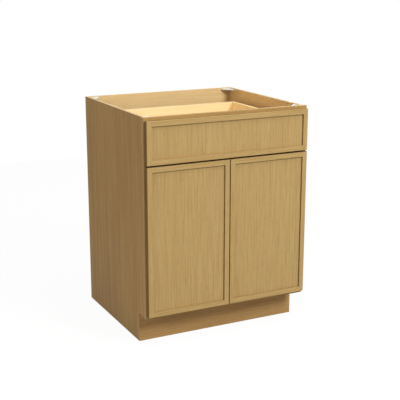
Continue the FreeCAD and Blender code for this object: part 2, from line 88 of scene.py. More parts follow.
# Places of the fasteners on the CAD pieces, in metres
DRAWER_SCREW_OUT = 0.18
DRAWER_SCREW_RISES = (0.032, 0.062)
RUNNER_GAUGE = 0.0012
RUNNER_SCREW_DROP = 0.012
RUNNER_SCREW_SHARES = (0.12, 0.5, 0.88)
CATCH_SCREW_BACK = 0.006
CATCH_SCREW_INSETS = (0.008, 0.030)
LEVER_PIN_RISE = 0.00246
BRACE_WALL = 0.002
BRACE_STAPLE_DROP = 0.0048
BRACE_STAPLE_OUT = 0.029
HINGE_END = 0.023
BASE_GAUGE = 0.0015
BASE_SCREW_RISE = 0.016
CUP_SCREW_RISE = 0.022
CAM_OUT = 0.0042
CAM_BACK = 0.008
PAD_WIDTH = 0.009

# Sizes of the grips under the levers' thumbs
GRIP_RIDGES = 5
GRIP_PITCH = 0.0022
GRIP_FIRST = 0.0024
GRIP_HALF = 0.0040
GRIP_RADIUS = 0.0006

# Profiles as (radius, height) points: a rivet's head in metres, a pad as shares of its width
# and thickness, and a screw as shares of its head's radius and rise
RIVET = ((0, 0), (0.0013, 0), (0.00125, 0.0002), (0.0009, 0.0004), (0, 0.0005))
PAD = ((0, 0), (0.5, 0), (0.5, 0.35), (0.44, 0.72), (0.30, 0.94), (0, 1))
SCREW = ((0.45, 0), (1, 0), (0.99, 0.30), (0.90, 0.66), (0.76, 0.90), (0.62, 1))

# Lamps: name, place, diameter and the setting of their power
LAMPS = (("key_lamp", (1.7, -4.3, 3.8), 1.8, "key_power"),
         ("top_lamp", (0.1, -0.7, 3.2), 1.6, "top_power"),
         ("fill_lamp", (-3.2, -1.2, 1.6), 2.0, "fill_power"),
         ("back_lamp", (3.2, 2.8, 1.1), 2.0, "back_power"))
LAMP_TARGET = (0, 0, 0.5)
FLOOR_WHITE = 1.06


# Properties

def colour_property(name, description, default):
    """Colour written as display values from 0 to 1."""
    return FloatVectorProperty(name=name, description=description, default=default,
                               subtype="COLOR_GAMMA", size=3, min=0, max=1)


def length_property(name, description, default):
    return FloatProperty(name=name, description=description, default=default,
                         subtype="DISTANCE", unit="LENGTH", min=0)


def factor_property(name, description, default):
    return FloatProperty(name=name, description=description, default=default,
                         subtype="FACTOR", min=0, max=1)


class CabinetWood(bpy.types.PropertyGroup):
    """Colours and grain of the cabinet's woods, with painted shade on the fronts' edges and joints
    and painted bounce light on some inner faces.
    """
    stain: colour_property("Stain", "Stained fronts", (0.783, 0.663, 0.444))
    stain_dark: colour_property("Stain, dark figure", "Darker streaks of the fronts",
                                (0.706, 0.576, 0.356))
    # Darker colour on the fronts' cut edges and joints: partly stain, partly painted shade
    stained_shaded_edge: colour_property("Stained edge", "Cut edges and joints of the fronts",
                                  (0.400, 0.270, 0.140))
    # Its share on the drawer front's edges that face up, which take less painted shade
    top_stain_and_shade: factor_property("Top edge stain", "Share of that stain on the drawer front's top",
                               0.70)
    # Painted shade on the door edges that face the gaps between the fronts
    gap_painted_shade: colour_property("Gap edge", "Edges of the doors that meet another front",
                              (0.310, 0.208, 0.110))
    frame: colour_property("Frame", "Stained face frame", (0.770, 0.630, 0.400))
    frame_dark: colour_property("Frame, dark figure", "Darker streaks of the face frame",
                                (0.690, 0.545, 0.320))
    side: colour_property("Side", "Outer faces of the side panels", (0.778, 0.626, 0.380))
    side_dark: colour_property("Side, dark figure", "Darker streaks of the side panels",
                               (0.640, 0.490, 0.276))
    toe: colour_property("Toe board", "Face of the toe board", (0.775, 0.626, 0.412))
    toe_dark: colour_property("Toe board, dark figure", "Darker streaks of the toe board",
                              (0.694, 0.540, 0.336))
    inside: colour_property("Inside", "Clear finished interior faces", (0.890, 0.785, 0.585))
    inside_dark: colour_property("Inside, dark figure", "Darker streaks of the interior faces",
                                 (0.840, 0.720, 0.510))
    back: colour_property("Back", "Both faces of the back panel", (0.935, 0.800, 0.580))
    back_dark: colour_property("Back, dark figure", "Darker streaks of the back panel",
                               (0.880, 0.725, 0.490))
    # Same clear veneer as the inside, warmer: painted light bounced round the case
    lining_and_bounce: colour_property("Lining", "Inner faces of the side panels", (0.915, 0.780, 0.555))
    lining_and_bounce_dark: colour_property("Lining, dark figure", "Darker streaks of the same faces",
                                 (0.862, 0.712, 0.484))
    ply_edge: colour_property("Panel edge", "Light layers on the edges of the side panels",
                              (0.930, 0.840, 0.660))
    ply_edge_dark: colour_property("Panel edge, glue lines", "Dark layers on the same edges",
                                   (0.760, 0.620, 0.420))
    maple: colour_property("Drawer maple", "Boards of the drawer box", (0.955, 0.870, 0.695))
    maple_dark: colour_property("Drawer maple, dark figure", "Darker streaks of the maple",
                                (0.925, 0.820, 0.625))
    # Same maple as the rest of the box, lighter and warmer: painted light bounced inside the drawer
    maple_side_and_bounce: colour_property("Drawer sides", "Boards at the sides of the drawer box",
                                (0.990, 0.880, 0.665))
    maple_side_and_bounce_dark: colour_property("Drawer sides, dark figure", "Darker streaks of these boards",
                                     (0.960, 0.830, 0.595))
    packing: colour_property("Packing", "Runner packing blocks", (0.800, 0.680, 0.490))
    packing_dark: colour_property("Packing, dark figure", "Darker streaks of the packing",
                                  (0.700, 0.560, 0.370))
    edge_ease: length_property("Eased edge", "Radius of the softened edges of the boards", 0.0008)
    edge_wear: factor_property("Edge wear", "How much the softened edges are rubbed", 0.30)
    # Shares of the darker edge colour, stain with painted shade: most on edges facing down, less on
    # those facing sideways and on ledges facing up
    edge_stain_and_shade: factor_property("Edge stain", "How far the cut edges take the darker stain", 0.90)
    side_stain_and_shade: factor_property("Side edge stain", "The same for edges that face sideways", 0.72)
    ledge_stain_and_shade: factor_property("Ledge stain", "Share of that stain on the ledges under panels",
                                 0.35)
    # Painted shade along the panels' recessed joints, and the width of its line
    joint_shade: factor_property("Joint stain", "How far panels darken along their joints", 0.15)
    joint_shade_width: length_property("Joint stain width", "Width of the dark line at a joint", 0.002)
    tongue: length_property("Panel tongue", "Width of the panels' hidden tongues", 0.008)


class CabinetHardware(bpy.types.PropertyGroup):
    """Colours and sizes of the metal and plastic pieces."""
    zinc: colour_property("Zinc", "Runners and pegs", (0.830, 0.835, 0.840))
    nickel: colour_property("Nickel", "Hinges", (0.870, 0.855, 0.830))
    white_plastic: colour_property("White plastic", "Braces and shoes", (0.900, 0.900, 0.905))
    grey_plastic: colour_property("Grey plastic", "Catches and levers", (0.470, 0.480, 0.490))
    pad: colour_property("Pad", "Clear pads behind the fronts", (0.900, 0.900, 0.885))
    screw_head: length_property("Screw head", "Radius of a screw's head", 0.0038)
    screw_rise: length_property("Screw rise", "Height of a screw's head", 0.0017)
    screw_shank: length_property("Screw shank", "Length of shank behind the head", 0.004)
    staple_width: length_property("Staple", "Width of a staple's crown", 0.011)
    staple_wire: length_property("Staple wire", "Thickness of a staple's wire", 0.0011)
    link_reach: length_property("Link reach", "Half the height over a hinge's outer link", 0.005)
    cheek_reach: length_property("Cheek reach", "Half the height over a hinge cup's cheeks", 0.0066)
    pin_step_out: length_property("Pin step outwards", "From a cup's first pin to its second",
                                  0.00025)
    pin_step_forward: length_property("Pin step forwards", "From a cup's first pin to its second",
                                      0.004)
    pressing_ease: length_property("Pressed edge", "Width of the softened metal edges", 0.0002)
    moulding_ease: length_property("Moulded edge", "Width of the softened plastic edges", 0.0005)


class CabinetStudio(bpy.types.PropertyGroup):
    """Camera, lamps and floor."""
    lens: FloatProperty(name="Lens", description="Focal length on a 36 mm sensor", default=81.478,
                        unit="CAMERA", min=1)
    place: FloatVectorProperty(name="Camera place", description="Where the camera stands",
                               default=(-1.586568, -3.207117, 1.396181), size=3,
                               subtype="TRANSLATION", unit="LENGTH")
    turn: FloatProperty(name="Turn", description="Camera's turn to the right of straight ahead",
                        default=math.radians(26.768), subtype="ANGLE", unit="ROTATION")
    dip: FloatProperty(name="Dip", description="Camera's dip below the horizon",
                       default=math.radians(14.504), subtype="ANGLE", unit="ROTATION")
    roll: FloatProperty(name="Roll", description="Camera's roll", default=math.radians(0.040),
                        subtype="ANGLE", unit="ROTATION")
    key_power: FloatProperty(name="Key", description="Power of the key lamp", default=195.0,
                             subtype="POWER", unit="POWER", min=0)
    top_power: FloatProperty(name="Top", description="Power of the lamp overhead", default=34.0,
                             subtype="POWER", unit="POWER", min=0)
    fill_power: FloatProperty(name="Fill", description="Power of the lamp on the left",
                              default=23.0, subtype="POWER", unit="POWER", min=0)
    back_power: FloatProperty(name="Back", description="Power of the lamp behind", default=40.0,
                              subtype="POWER", unit="POWER", min=0)
    fill_colour: FloatVectorProperty(name="Fill colour", description="Colour of that lamp",
                                     default=(1.0, 0.90, 0.76), size=3, subtype="COLOR", min=0,
                                     max=1)
    ambient: FloatProperty(name="Ambient", description="Light from all round", default=0.20, min=0)
    floor: colour_property("Floor", "Colour of the floor", (0.780, 0.780, 0.780))
    floor_glow: factor_property("Floor glow", "How much of the floor is plain white to the camera",
                                0.90)
    floor_reach: length_property("Floor reach", "Radius of the floor", 3.2)


# Materials

def plain(colour):
    """Linear colour with alpha from display values."""
    linear = [((c + 0.055) / 1.055) ** 2.4 if c > 0.04045 else c / 12.92 for c in colour]
    return (*linear, 1.0)


class Shader:
    """A material's node tree with short calls for the nodes in use here."""

    def __init__(self, name):
        self.material = bpy.data.materials.new(name)
        self.material.use_nodes = True
        self.tree = self.material.node_tree
        self.tree.nodes.clear()
        self.place = self.add("ShaderNodeTexCoord").outputs["Object"]

    def add(self, kind, inputs=None, **settings):
        made = self.tree.nodes.new(kind)
        for key, value in settings.items():
            setattr(made, key, value)
        for key, value in (inputs or {}).items():
            self.feed(made.inputs[key], value)
        return made

    def feed(self, socket, value):
        if isinstance(value, bpy.types.NodeSocket):
            self.tree.links.new(value, socket)
        else:
            socket.default_value = value

    def math(self, operation, first, second=0.5, third=0.5):
        made = self.add("ShaderNodeMath", operation=operation)
        for socket, value in zip(made.inputs, (first, second, third)):
            self.feed(socket, value)
        return made.outputs[0]

    def mix(self, share, first, second, blend="MIX"):
        """Colour between first and second."""
        made = self.add("ShaderNodeMix", data_type="RGBA", blend_type=blend, clamp_factor=True)
        for index, value in ((0, share), (6, first), (7, second)):
            self.feed(made.inputs[index], value)
        return made.outputs[2]

    def spread(self, value, low, high, new_low, new_high):
        """A value moved from one range to another and held inside it."""
        made = self.add("ShaderNodeMapRange", {"Value": value, "From Min": low, "From Max": high,
                                               "To Min": new_low, "To Max": new_high})
        return made.outputs[0]

    def noise(self, vector, scale, detail=2.0, roughness=0.5):
        made = self.add("ShaderNodeTexNoise", {"Vector": vector, "Scale": scale, "Detail": detail,
                                               "Roughness": roughness})
        return made.outputs["Fac"]

    def moved(self, vector, shift):
        return self.add("ShaderNodeVectorMath", {0: vector, 1: shift}, operation="ADD").outputs[0]

    def parts(self, vector):
        """Channels of a vector, by X, Y and Z."""
        return self.add("ShaderNodeSeparateXYZ", {"Vector": vector}).outputs

    def bump(self, strength, distance, height, normal):
        return self.add("ShaderNodeBump", {"Strength": strength, "Distance": distance,
                                           "Height": height, "Normal": normal}).outputs[0]

    def grey(self, value):
        """A vector or colour with the same value in all its channels."""
        return self.add("ShaderNodeCombineXYZ", {key: value for key in "XYZ"}).outputs[0]

    def scaled(self, tone, value):
        """A colour made lighter or darker by a value about 1."""
        return self.mix(1.0, tone, self.grey(value), "MULTIPLY")

    def finish(self, **inputs):
        """Joins the surface to the material's output."""
        names = {"colour": "Base Color", "roughness": "Roughness", "metallic": "Metallic",
                 "normal": "Normal", "specular": "Specular IOR Level",
                 "transmission": "Transmission Weight",
                 "subsurface": "Subsurface Weight", "subsurface_scale": "Subsurface Scale"}
        surface = self.add("ShaderNodeBsdfPrincipled",
                           {names[key]: value for key, value in inputs.items()})
        self.add("ShaderNodeOutputMaterial", {"Surface": surface.outputs[0]})
        return self.material


def offset_place(shader):
    """Coordinates in the cabinet's own frame, moved by a different amount for every board."""
    chance = shader.add("ShaderNodeObjectInfo").outputs["Random"]
    shift = shader.add("ShaderNodeVectorMath", {0: (7.0, 13.0, 23.0), "Scale": chance},
                       operation="SCALE").outputs[0]
    return shader.moved(shader.place, shift)


def along_grain(shader, place, axis, stretch):
    """Coordinates squeezed along the grain, so that a noise draws long streaks."""
    scale = [1.0, 1.0, 1.0]
    scale[AXES[axis]] = 1 / stretch
    return shader.add("ShaderNodeMapping", {"Vector": place, "Scale": scale}).outputs[0]


def grain(shader, place, axis, light, dark, broad=0.12, pores=0.35):
    """Colour, fibres and height of straight-grained wood; broad is the share of wide bands."""
    light, dark = plain(light), plain(dark)
    drift = shader.noise(along_grain(shader, place, axis, 16), WAVER_SCALE, 0.0)
    drift = shader.math("MULTIPLY", drift, WAVER)
    place = shader.moved(place, shader.grey(drift))
    bands = shader.noise(along_grain(shader, place, axis, 24), BAND_SCALE, 1.0)
    rings = shader.noise(along_grain(shader, place, axis, 40), RING_SCALE, 1.0)
    streaks = shader.noise(along_grain(shader, place, axis, 40), STREAK_SCALE, 3.0, 0.6)
    fibres = shader.noise(along_grain(shader, place, axis, 60), FIBRE_SCALE, 3.0, 0.7)
    fine = 1 - broad
    share = shader.math("MULTIPLY", shader.spread(bands, 0.30, 0.70, 0, 1), broad)
    share = shader.math("MULTIPLY_ADD", shader.spread(rings, 0.32, 0.68, 0, 1), fine * 0.48, share)
    share = shader.math("MULTIPLY_ADD", shader.spread(streaks, 0.34, 0.66, 0, 1), fine * 0.52,
                        share)
    tone = shader.mix(share, light, dark)
    pore_noise = shader.noise(along_grain(shader, place, axis, 22), PORE_SCALE, 1.0)
    pore = shader.spread(pore_noise, 0.60, 0.72, 0.0, pores)
    tone = shader.mix(pore, tone, [channel * 0.5 for channel in dark[:3]] + [1.0])
    tone = shader.scaled(tone, shader.spread(fibres, 0.25, 0.75, 0.94, 1.05))
    height = shader.math("MULTIPLY_ADD", fibres, 0.5, streaks)
    height = shader.math("MULTIPLY_ADD", pore, -1.2, height)
    return tone, fibres, height


def worn(shader, tone, ease, amount, to):
    """Tone that goes over to another colour on rubbed edges, and the eased normal."""
    soft = shader.add("ShaderNodeBevel", {"Radius": ease}, samples=4).outputs[0]
    flat = shader.add("ShaderNodeNewGeometry").outputs["Normal"]
    turned = shader.add("ShaderNodeVectorMath", {0: soft, 1: flat}, operation="DOT_PRODUCT")
    rub = shader.spread(shader.noise(shader.place, RUB_SCALE, 2.0), 0.35, 0.65, 0.35, 1.0)
    edge = shader.spread(turned.outputs["Value"], 0.80, 0.995, amount, 0.0)
    return shader.mix(shader.math("MULTIPLY", edge, rub), tone, plain(to)), soft


def varnished(shader, tone, fibres, height, colours, worn_to, gloss=0.46):
    """Sealed wood with softened, lightly rubbed edges."""
    tone, soft = worn(shader, tone, colours.edge_ease, colours.edge_wear, worn_to)
    rough = shader.spread(fibres, 0.2, 0.8, gloss - 0.06, gloss + 0.10)
    return shader.finish(colour=tone, roughness=rough, specular=0.10,
                         normal=shader.bump(0.22, WOOD_RELIEF, height, soft))


def board(name, axis, light, dark, colours, broad=0.12, pores=0.35, gloss=0.46):
    """Board or veneer with its grain along one axis of the cabinet."""
    shader = Shader(name)
    tone, fibres, height = grain(shader, offset_place(shader), axis, light, dark, broad, pores)
    return varnished(shader, tone, fibres, height, colours, light, gloss)


def stain_and_shade_edges(shader, tone, colours, ledge, gap, meeting):
    """Darker stain on the cut edges of the fronts, whose faces look along Y, with painted shade in
    it
    that is heaviest on edges that look down: ledge is its share on edges that look up, and with gap
    these take painted gap shade and are darkest, their eased corners too. Meeting is the way along
    X that an edge looks which is as dark, or 0."""
    facing = shader.parts(shader.add("ShaderNodeTexCoord").outputs["Normal"])
    level = shader.math("ABSOLUTE", facing["Y"])
    upward = shader.spread(facing["Z"], *FACING, 0.0, 1.0)
    beside = shader.spread(shader.math("ABSOLUTE", facing["X"]), *FACING, 0.0, 1.0)
    cut = shader.spread(level, 0.25, 0.60, 1.0, 0.0)
    # Stain with painted shade, less on edges that face sideways and on those that face up
    strength = shader.spread(beside, 0, 1, colours.edge_stain_and_shade, colours.side_stain_and_shade)
    strength = shader.math("MULTIPLY", strength, shader.spread(upward, 0, 1, 1.0, ledge))
    stain = plain(colours.stained_shaded_edge)
    # Painted shade on edges that face a gap between the fronts
    if gap:
        eased = shader.spread(level, 0.75, 0.95, 1.0, 0.0)
        cut = shader.math("MAXIMUM", cut, shader.math("MULTIPLY", eased, upward))
        in_gap_shade = upward
        if meeting:
            met = shader.spread(shader.math("MULTIPLY", facing["X"], meeting), *FACING, 0.0, 1.0)
            in_gap_shade = shader.math("MAXIMUM", upward, met)
            strength = shader.math("MAXIMUM", strength,
                                   shader.math("MULTIPLY", met, colours.edge_stain_and_shade))
        stain = shader.mix(in_gap_shade, stain, plain(colours.gap_painted_shade))
    return shader.mix(shader.math("MULTIPLY", cut, strength), tone, stain)


def joint_shaded(shader, tone, colours, low, high):
    """Painted shade on a panel along its rails and the stile on its left, where the recess meets
    them:
    the stile on its right shades it already."""
    parts = shader.parts(shader.place)
    near = shader.math("SUBTRACT", parts["X"], low.x)
    near = shader.math("MINIMUM", near, shader.math("SUBTRACT", parts["Z"], low.z))
    near = shader.math("MINIMUM", near, shader.math("SUBTRACT", high.z, parts["Z"]))
    dark = shader.spread(near, 0.0, colours.joint_shade_width, colours.joint_shade, 0.0)
    return shader.mix(dark, tone, plain(colours.stained_shaded_edge))


def front_wood(name, axis, colours, panel=None, ledge=1.0, gap=False, meeting=0):
    """Stained wood of the fronts, with painted shade on its cut edges and along a panel's joints;
    panel gives the corners of a panel between its members.
    """
    shader = Shader(name)
    tone, fibres, height = grain(shader, offset_place(shader), axis, colours.stain,
                                 colours.stain_dark)
    if panel:
        tone = joint_shaded(shader, tone, colours, *panel)
    tone = stain_and_shade_edges(shader, tone, colours, ledge, gap, meeting)
    return varnished(shader, tone, fibres, height, colours, colours.stain)


def side_wood(name, colours, inner, outer):
    """Side panel: stained veneer outside, clear veneer warmed with painted bounce light inside and
    layers on its edges.
    """
    shader = Shader(name)
    moved = offset_place(shader)
    veneer, fibres, height = grain(shader, moved, "Z", colours.side, colours.side_dark, 0.35, 0.3)
    # Clear veneer inside, with painted bounce light
    clear, _, _ = grain(shader, moved, "Y", colours.lining_and_bounce, colours.lining_and_bounce_dark, 0.15, 0.2)
    across = shader.math("ABSOLUTE", shader.parts(shader.place)["X"])
    outside = shader.math("GREATER_THAN", across, outer - VENEER)
    inside = shader.math("LESS_THAN", across, inner + VENEER)
    depth = shader.math("MULTIPLY", shader.math("SUBTRACT", across, inner),
                        PLY_LAYERS / (outer - inner))
    from_middle = shader.math("ABSOLUTE", shader.math(
        "SUBTRACT", shader.math("FRACT", depth), 0.5))
    layer = shader.spread(from_middle, 0.20, 0.28, 0.0, 1.0)
    core = shader.mix(layer, plain(colours.ply_edge), plain(colours.ply_edge_dark))
    specks = shader.noise(moved, FIBRE_SCALE, 2.0, 0.7)
    core = shader.scaled(core, shader.spread(specks, 0.3, 0.7, 0.90, 1.04))
    tone = shader.mix(inside, shader.mix(outside, core, veneer), clear)
    return varnished(shader, tone, fibres, height, colours, colours.side, 0.48)


def steel(name, colour, roughness, cloudy, metals):
    """Plated sheet steel with faint rolling marks, cloudy patches and bright edges."""
    shader = Shader(name)
    rolled = shader.noise(along_grain(shader, shader.place, "Y", 30), ROLLING_SCALE, 3.0, 0.6)
    cloud = shader.noise(shader.place, STEEL_CLOUD_SCALE, 3.0, 0.6)
    shade = shader.spread(shader.math("MULTIPLY_ADD", cloud, 0.6, rolled), 0.5, 1.1, 0.84, 1.04)
    tone = shader.scaled(plain(colour), shade)
    tone, soft = worn(shader, tone, metals.pressing_ease, 0.6, BARE_METAL)
    rough = shader.spread(cloud, 0.3, 0.7, roughness, roughness + cloudy)
    return shader.finish(colour=tone, metallic=1.0, roughness=rough,
                         normal=shader.bump(0.12, FINE_RELIEF, rolled, soft))


def plastic(name, colour, roughness, metals, clear=0.0):
    """Moulded plastic with a fine spark texture."""
    shader = Shader(name)
    spark = shader.noise(shader.place, SPARK_SCALE, 2.0, 0.6)
    cloud = shader.noise(shader.place, PLASTIC_CLOUD_SCALE, 2.0)
    tone = shader.scaled(plain(colour), shader.spread(cloud, 0.3, 0.7, 0.95, 1.02))
    pale = [(1 + channel) / 2 for channel in colour]
    tone, soft = worn(shader, tone, metals.moulding_ease, 0.5, pale)
    rough = shader.spread(spark, 0.3, 0.7, roughness, roughness + 0.12)
    return shader.finish(colour=tone, roughness=rough, transmission=clear, subsurface=0.15,
                         subsurface_scale=0.002,
                         normal=shader.bump(0.10, FINE_RELIEF, spark, soft))


# Pieces

def dress(names, material):
    """Gives CAD nodes a material."""
    for name in names:
        for slot in frame["nodes"][name].material_slots:
            slot.material = material


def both(*names):
    """Each name with both of its sides."""
    return [name + "_" + side for name in names for side in SIDES]


def mesh_piece(name, build, body, material):
    """New smooth piece from a function that fills a bmesh with closed forms."""
    mesh = bmesh.new()
    build(mesh)
    bmesh.ops.recalc_face_normals(mesh, faces=mesh.faces)
    data = bpy.data.meshes.new(name)
    mesh.to_mesh(data)
    mesh.free()
    data.polygons.foreach_set("use_smooth", [True] * len(data.polygons))
    data.materials.append(material)
    piece = bpy.data.objects.new(name, data)
    bpy.context.scene.collection.objects.link(piece)
    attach(piece, body)
    return piece


def aimed(place, direction):
    """Matrix that puts +Z along direction at place."""
    turn = Vector(direction).to_track_quat("Z", "Y").to_matrix().to_4x4()
    return Matrix.Translation(place) @ turn


def ring(mesh, matrix, radius, height, steps):
    """Vertices of a circle about matrix's Z, or the one on it where the radius is 0."""
    if radius == 0:
        return [mesh.verts.new(matrix @ Vector((0, 0, height)))]
    turns = [math.tau * i / steps for i in range(steps)]
    return [mesh.verts.new(matrix @ Vector((radius * math.cos(turn), radius * math.sin(turn),
                                            height))) for turn in turns]


def lathe(mesh, profile, matrix, steps):
    """Adds a turned form from (radius, height) points; it closes where these are on the axis."""
    rings = [ring(mesh, matrix, radius, height, steps) for radius, height in profile]
    for low, high in zip(rings, rings[1:]):
        for i in range(steps):
            j = (i + 1) % steps
            corners = [low[i], low[j]] if len(low) > 1 else [low[0]]
            corners += [high[j], high[i]] if len(high) > 1 else [high[0]]
            mesh.faces.new(corners)


def loft(mesh, sections):
    """Skins closed sections of equal count one after another and caps both ends."""
    for low, high in zip(sections, sections[1:]):
        for i in range(len(low)):
            j = (i + 1) % len(low)
            mesh.faces.new((low[i], low[j], high[j], high[i]))
    mesh.faces.new(sections[0][::-1])
    mesh.faces.new(sections[-1])


def cross_recess(mesh, matrix, radius, height, depth, steps):
    """Flat disc with a cross cut into it, and the cross's walls and floor."""
    arm, slim = radius * 0.58, radius * 0.15
    outline = [(arm, -slim), (arm, slim), (slim, slim), (slim, arm), (-slim, arm), (-slim, slim),
               (-arm, slim), (-arm, -slim), (-slim, -slim), (-slim, -arm), (slim, -arm),
               (slim, -slim)]
    rim = ring(mesh, matrix, radius, height, steps)
    top = [mesh.verts.new(matrix @ Vector((x, y, height))) for x, y in outline]
    floor = [mesh.verts.new(matrix @ Vector((x * 0.7, y * 0.7, height - depth)))
             for x, y in outline]
    edges = [mesh.edges.new((line[i], line[(i + 1) % len(line)]))
             for line in (rim, top) for i in range(len(line))]
    bmesh.ops.triangle_fill(mesh, use_beauty=True, edges=edges, normal=matrix.to_3x3().col[2])
    for i in range(len(outline)):
        j = (i + 1) % len(outline)
        mesh.faces.new((top[i], top[j], floor[j], floor[i]))
    mesh.faces.new(floor)


def screw_form(mesh, place, direction, metals, share, steps=24):
    """Pan-headed screw that stands on its seat: direction points out of the head."""
    matrix = aimed(place, direction)
    head = metals.screw_head * share
    rise = metals.screw_rise * share
    profile = [(0, -metals.screw_shank), (head * 0.42, -metals.screw_shank)]
    profile += [(head * out, rise * up) for out, up in SCREW]
    lathe(mesh, profile, matrix, steps)
    cross_recess(mesh, matrix, profile[-1][0], rise, rise * 0.8, steps)
    bmesh.ops.remove_doubles(mesh, verts=mesh.verts, dist=0.000002)


def staple_form(mesh, place, direction, width, wire, steps=8):
    """Wire staple across its seat: direction points out of the crown."""
    matrix = aimed(place, direction)
    half, bend, sink = width / 2, wire * 1.2, wire * 2
    corner = [(half, -sink), (half, wire / 2 - bend * 0.4), (half - bend * 0.3, wire * 0.45),
              (half - bend, wire * 0.55)]
    line = [(-x, z) for x, z in corner] + corner[::-1]
    sections = []
    for index, (x, z) in enumerate(line):
        before, after = line[max(index - 1, 0)], line[min(index + 1, len(line) - 1)]
        along = Vector((after[0] - before[0], 0, after[1] - before[1])).normalized()
        side = Vector((0, 1, 0))
        up = along.cross(side)
        sections.append([mesh.verts.new(matrix @ (Vector((x, 0, z)) + (
            side * math.cos(math.tau * i / steps) + up * math.sin(math.tau * i / steps))
            * wire / 2)) for i in range(steps)])
    loft(mesh, sections)


def ridge_form(mesh, centre, along, half, radius, steps=6):
    """Half-round ridge under a flat face, with its ends drawn in: along is its direction."""
    side = Vector((-along.y, along.x, 0))
    sections = []
    for reach, share in ((-1.0, 0.3), (-0.85, 1.0), (0.85, 1.0), (1.0, 0.3)):
        middle = centre + along * half * reach
        sections.append([mesh.verts.new(
            middle + side * math.cos(math.pi * i / steps) * radius * share
            - Vector((0, 0, math.sin(math.pi * i / steps) * radius * 0.7 * share)))
            for i in range(steps + 1)])
    loft(mesh, sections)


def joint_place(name):
    """Where the record puts a joint's axis."""
    joints = frame["record"]["behaviour"]["joints"]
    return Vector(next(joint["pos_m"] for joint in joints if joint["name"] == name))


def screws(name, seats, body, material, metals, share=1.0):
    """Screws of one kind on one body: seats is a list of (place, direction out of the head)."""
    def build(mesh):
        for place, direction in seats:
            screw_form(mesh, place, direction, metals, share)
    piece = mesh_piece(name, build, body, material)
    piece.modifiers.new("Normals", "WEIGHTED_NORMAL")


def woods(context):
    return context.scene.cabinet_wood


def hardware(context):
    return context.scene.cabinet_hardware


def made(name, make):
    """A material by name, made on first use."""
    return bpy.data.materials.get(name) or make()


def frame_wood(colours, axis):
    name = "frame_wood_" + axis
    return made(name, lambda: board(name, axis, colours.frame, colours.frame_dark, colours))


def zinc(metals):
    return made("zinc_plate", lambda: steel("zinc_plate", metals.zinc, 0.30, 0.14, metals))


def nickel(metals):
    return made("nickel_plate", lambda: steel("nickel_plate", metals.nickel, 0.30, 0.12, metals))


class CABINET_OT_face_frame(bpy.types.Operator):
    """Stained finish of the face frame"""
    bl_idname = "cabinet.face_frame"
    bl_label = "Face frame"

    def execute(self, context):
        colours = woods(context)
        dress(both("stile"), frame_wood(colours, "Z"))
        dress(["top_rail", "middle_rail", "bottom_rail"], frame_wood(colours, "X"))
        return {"FINISHED"}


class CABINET_OT_case(bpy.types.Operator):
    """Finishes of the side panels, back, bottom, nailers, shelf, toe board and packing"""
    bl_idname = "cabinet.case"
    bl_label = "Case"

    def execute(self, context):
        colours = woods(context)
        low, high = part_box("side_panel_right")
        dress(both("side_panel"), side_wood("side_panel_wood", colours, low.x, high.x))
        dress(["toe_board"], board("toe_board_wood", "X", colours.toe, colours.toe_dark, colours))
        dress(["top_nailer", "lower_nailer", "bottom_panel", "shelf"],
              board("interior_veneer", "X", colours.inside, colours.inside_dark, colours,
                    pores=0.2))
        dress(["back_panel"],
              board("back_veneer", "X", colours.back, colours.back_dark, colours, 0.30, 0.25))
        dress(both("runner_block"), board("packing_hardwood", "Y", colours.packing,
                                          colours.packing_dark, colours, gloss=0.62))
        return {"FINISHED"}


class CABINET_OT_fronts(bpy.types.Operator):
    """Finishes of the drawer front's and the doors' stiles, rails and panels"""
    bl_idname = "cabinet.fronts"
    bl_label = "Fronts"

    def execute(self, context):
        colours = woods(context)
        # Edges that face a gap between the fronts take painted shade
        dress(both("door_outer_stile"), front_wood("front_wood_upright", "Z", colours, gap=True))
        for side, sign in SIDES.items():
            dress(["door_inner_stile_" + side], front_wood(
                "front_wood_meeting_" + side, "Z", colours, gap=True, meeting=-sign))
        dress(["drawer_front_left_stile", "drawer_front_right_stile"],
              front_wood("front_wood_post", "Z", colours, ledge=colours.top_stain_and_shade))
        dress(both("door_top_rail"), front_wood("front_wood_top", "X", colours, gap=True))
        dress(["drawer_front_top_rail"],
              front_wood("front_wood_crown", "X", colours, ledge=colours.top_stain_and_shade))
        dress(["drawer_front_low_rail", *both("door_low_rail")],
              front_wood("front_wood_low", "X", colours, ledge=colours.ledge_stain_and_shade))
        for name in ["drawer_front_panel", *both("door_panel")]:
            low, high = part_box(name)
            tongue = Vector((colours.tongue, 0, colours.tongue))
            dress([name], front_wood(name + "_wood", "Z", colours, (low + tongue, high - tongue)))
        return {"FINISHED"}


class CABINET_OT_drawer_box(bpy.types.Operator):
    """Maple finish of the drawer box and the screws that hold its front"""
    bl_idname = "cabinet.drawer_box"
    bl_label = "Drawer box"

    def execute(self, context):
        colours = woods(context)
        dress(["drawer_box_front", "drawer_box_back", "drawer_bottom"],
              board("drawer_maple", "X", colours.maple, colours.maple_dark, colours, pores=0.12))
        # Sides in the box's maple with painted bounce light
        dress(both("drawer_side"), board("drawer_side_maple", "Y", colours.maple_side_and_bounce,
                                         colours.maple_side_and_bounce_dark, colours, pores=0.12))
        metals = hardware(context)
        low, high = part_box("drawer_box_front")
        seats = [(Vector((side * DRAWER_SCREW_OUT, high.y, low.z + rise)), (0, 1, 0))
                 for side in SIDES.values() for rise in DRAWER_SCREW_RISES]
        screws("drawer_front_screws", seats, "drawer", zinc(metals), metals, 1.15)
        return {"FINISHED"}


